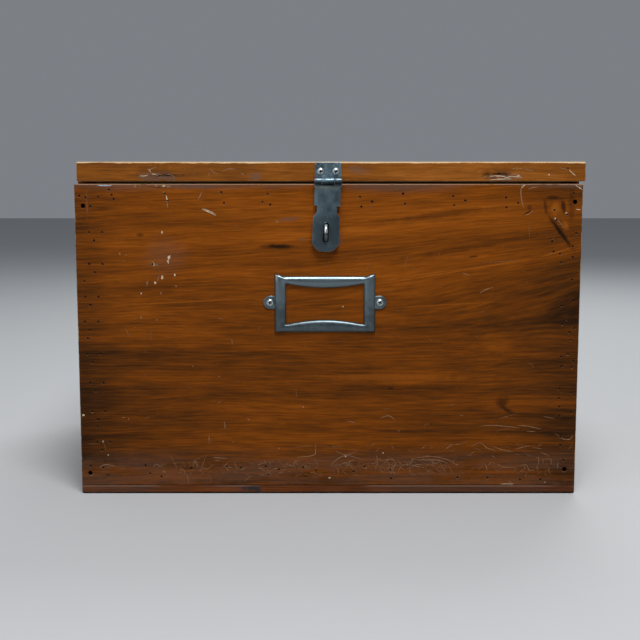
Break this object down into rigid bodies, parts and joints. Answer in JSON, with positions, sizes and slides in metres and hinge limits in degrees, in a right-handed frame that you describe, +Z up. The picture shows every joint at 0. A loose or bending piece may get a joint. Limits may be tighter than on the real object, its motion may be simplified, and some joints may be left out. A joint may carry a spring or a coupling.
{
  "type": "small wooden file chest",
  "caption": "Nailed board box for files with a full-width hinged lid, a hasp and staple at the front and a screwed-on metal label holder.",
  "frame": {"origin": "middle of the underside, on the surface it stands on", "axes": "+X to the right seen from the front, +Y towards the hinged back, +Z up"},
  "size_m": [0.4773, 0.3865, 0.3171],
  "materials": {
    "stained_wood": "satin varnish, worn",
    "bare_wood": "bare, sawn",
    "dark_steel": "dark, dull",
    "bright_steel": "bright",
    "nail_iron": "dark, rusty"
  },
  "bodies": {
    "case": {"back_nails": "nail_iron", "back_panel": "stained_wood", "base_board": "stained_wood", "base_nails": "nail_iron", "bottom_cleat_back": "bare_wood", "bottom_cleat_front": "bare_wood", "bottom_cleat_left": "bare_wood", "bottom_cleat_right": "bare_wood", "corner_post_back_left": "bare_wood", "corner_post_back_right": "bare_wood", "corner_post_front_left": "bare_wood", "corner_post_front_right": "bare_wood", "front_corner_screws": "nail_iron", "front_nails": "nail_iron", "front_panel": "stained_wood", "hinge_case_screws": "dark_steel", "hinge_left_case_leaf": "dark_steel", "hinge_left_pin": "dark_steel", "hinge_right_case_leaf": "dark_steel", "hinge_right_pin": "dark_steel", "label_holder": "dark_steel", "label_holder_screws": "bright_steel", "left_side": "stained_wood", "right_side": "stained_wood", "side_nails": "nail_iron", "staple_loop": "bright_steel", "staple_plate": "dark_steel", "staple_screws": "dark_steel", "top_batten_back": "bare_wood", "top_batten_front": "bare_wood"},
    "lid": {"lid_board": "stained_wood", "hinge_left_lid_leaf": "dark_steel", "hinge_right_lid_leaf": "dark_steel", "hinge_lid_screws": "dark_steel", "hasp_leaf": "dark_steel", "hasp_leaf_screws": "bright_steel", "hasp_pin": "dark_steel"},
    "strap": {"hasp_strap": "dark_steel"}
  },
  "joints": [
    {"name": "lid_hinge", "type": "hinge", "parent": "case", "child": "lid", "pos_m": [0, 0.186, 0.29785], "axis": [-1, 0, 0], "range_deg": [0, 195]},
    {"name": "hasp_hinge", "type": "hinge", "parent": "lid", "child": "strap", "pos_m": [-0.0004, -0.1863, 0.29925], "axis": [-1, 0, 0], "range_deg": [0, 160]}
  ]
}
